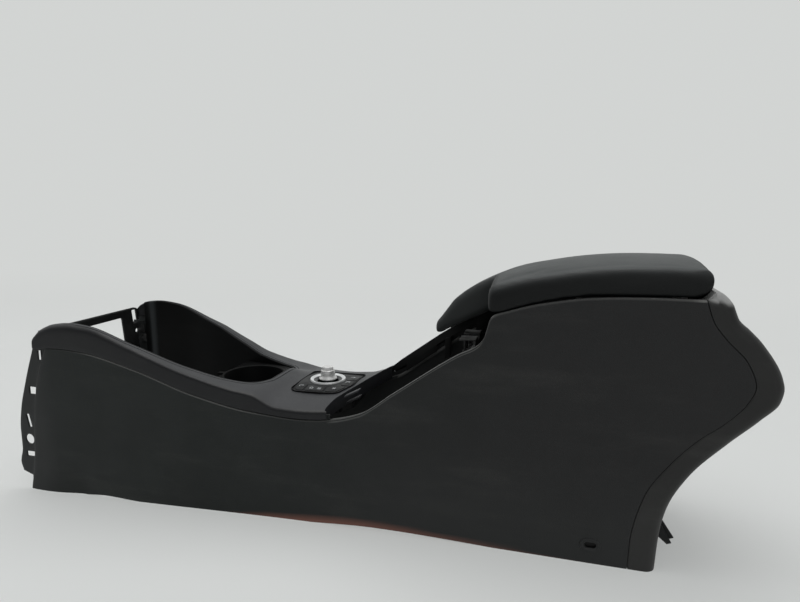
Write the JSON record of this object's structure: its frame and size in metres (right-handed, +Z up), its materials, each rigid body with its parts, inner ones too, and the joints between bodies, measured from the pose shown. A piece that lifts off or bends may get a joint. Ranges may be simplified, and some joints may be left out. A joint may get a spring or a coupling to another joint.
{
  "type": "car centre console",
  "caption": "Centre console with an open bay, cup holder, rotary controller, handbrake ramp and a storage box under a hinged padded armrest.",
  "frame": {"origin": "centre of the footprint, on the floor plane", "axes": "+X back along the car, +Y to the passenger side, +Z up"},
  "size_m": [0.9743, 0.2274, 0.351],
  "materials": {
    "shell": "grained, dusty",
    "trim": "satin, fine grain",
    "inner": "plain moulded",
    "gloss": "semi-gloss",
    "light": "satin, translucent",
    "silver": "satin metallic",
    "clear": "clear over a pale core",
    "rubber": "matt",
    "board": "lacquered circuit board",
    "steel": "plain",
    "pad": "soft grained skin over foam"
  },
  "bodies": {
    "console": {"side_panel_left": "shell", "side_panel_right": "shell", "rear_cover": "shell", "top_trim": "trim", "ramp_rail": "trim", "front_frame": "inner", "bay_liner": "inner", "cup_holder": "inner", "cup_mat": "rubber", "controller_housing": "inner", "circuit_board": "board", "controller_plate": "gloss", "light_ring": "light", "dial_collar": "gloss", "box_front_bracket": "inner", "storage_box": "inner", "box_mat": "rubber", "hinge_bracket": "steel", "hinge_pin": "steel", "rear_bracket": "inner"},
    "armrest": {"armrest_pad": "pad", "armrest_base": "inner", "lid_stop_left": "rubber", "lid_stop_right": "rubber"},
    "gimbal": {"gimbal_ring": "inner"},
    "stick": {"tilt_stem": "inner"},
    "plunger": {"press_plunger": "inner"},
    "knob": {"dial_knob": "silver", "knob_cap": "clear"},
    "front_key": {"key_front": "gloss"},
    "centre_key": {"key_centre": "gloss"},
    "rear_key": {"key_rear": "gloss"},
    "low_side_key": {"key_side_low": "gloss"},
    "high_side_key": {"key_side_high": "gloss"}
  },
  "joints": [
    {"name": "armrest_hinge", "type": "hinge", "parent": "console", "child": "armrest", "pos_m": [0.3955, 0, 0.331], "axis": [0, 1, 0], "range_deg": [0, 80]},
    {"name": "side_tilt", "type": "hinge", "parent": "console", "child": "gimbal", "pos_m": [-0.0495, 0.004, 0.15037], "axis": [1, 0, 0], "range_deg": [-4, 4], "stiffness_Nm_per_rad": 0.6},
    {"name": "long_tilt", "type": "hinge", "parent": "gimbal", "child": "stick", "pos_m": [-0.0495, 0.004, 0.15037], "axis": [0, 1, 0], "range_deg": [-4, 4], "stiffness_Nm_per_rad": 0.6},
    {"name": "knob_press", "type": "slide", "parent": "stick", "child": "plunger", "axis": [0, 0, -1], "range_m": [0, 0.001], "stiffness_N_per_m": 1500, "springref_m": -0.0005},
    {"name": "knob_turn", "type": "hinge", "parent": "plunger", "child": "knob", "pos_m": [-0.0495, 0.004, 0.165], "axis": [0, 0, 1], "continuous": true},
    {"name": "front_key_press", "type": "slide", "parent": "console", "child": "front_key", "axis": [0, 0, -1], "range_m": [0, 0.0012], "stiffness_N_per_m": 800, "springref_m": -0.0005},
    {"name": "centre_key_press", "type": "slide", "parent": "console", "child": "centre_key", "axis": [0, 0, -1], "range_m": [0, 0.0012], "stiffness_N_per_m": 800, "springref_m": -0.0005},
    {"name": "rear_key_press", "type": "slide", "parent": "console", "child": "rear_key", "axis": [0, 0, -1], "range_m": [0, 0.0012], "stiffness_N_per_m": 800, "springref_m": -0.0005},
    {"name": "low_side_key_press", "type": "slide", "parent": "console", "child": "low_side_key", "axis": [0, 0, -1], "range_m": [0, 0.0012], "stiffness_N_per_m": 800, "springref_m": -0.0005},
    {"name": "high_side_key_press", "type": "slide", "parent": "console", "child": "high_side_key", "axis": [0, 0, -1], "range_m": [0, 0.0012], "stiffness_N_per_m": 800, "springref_m": -0.0005}
  ]
}
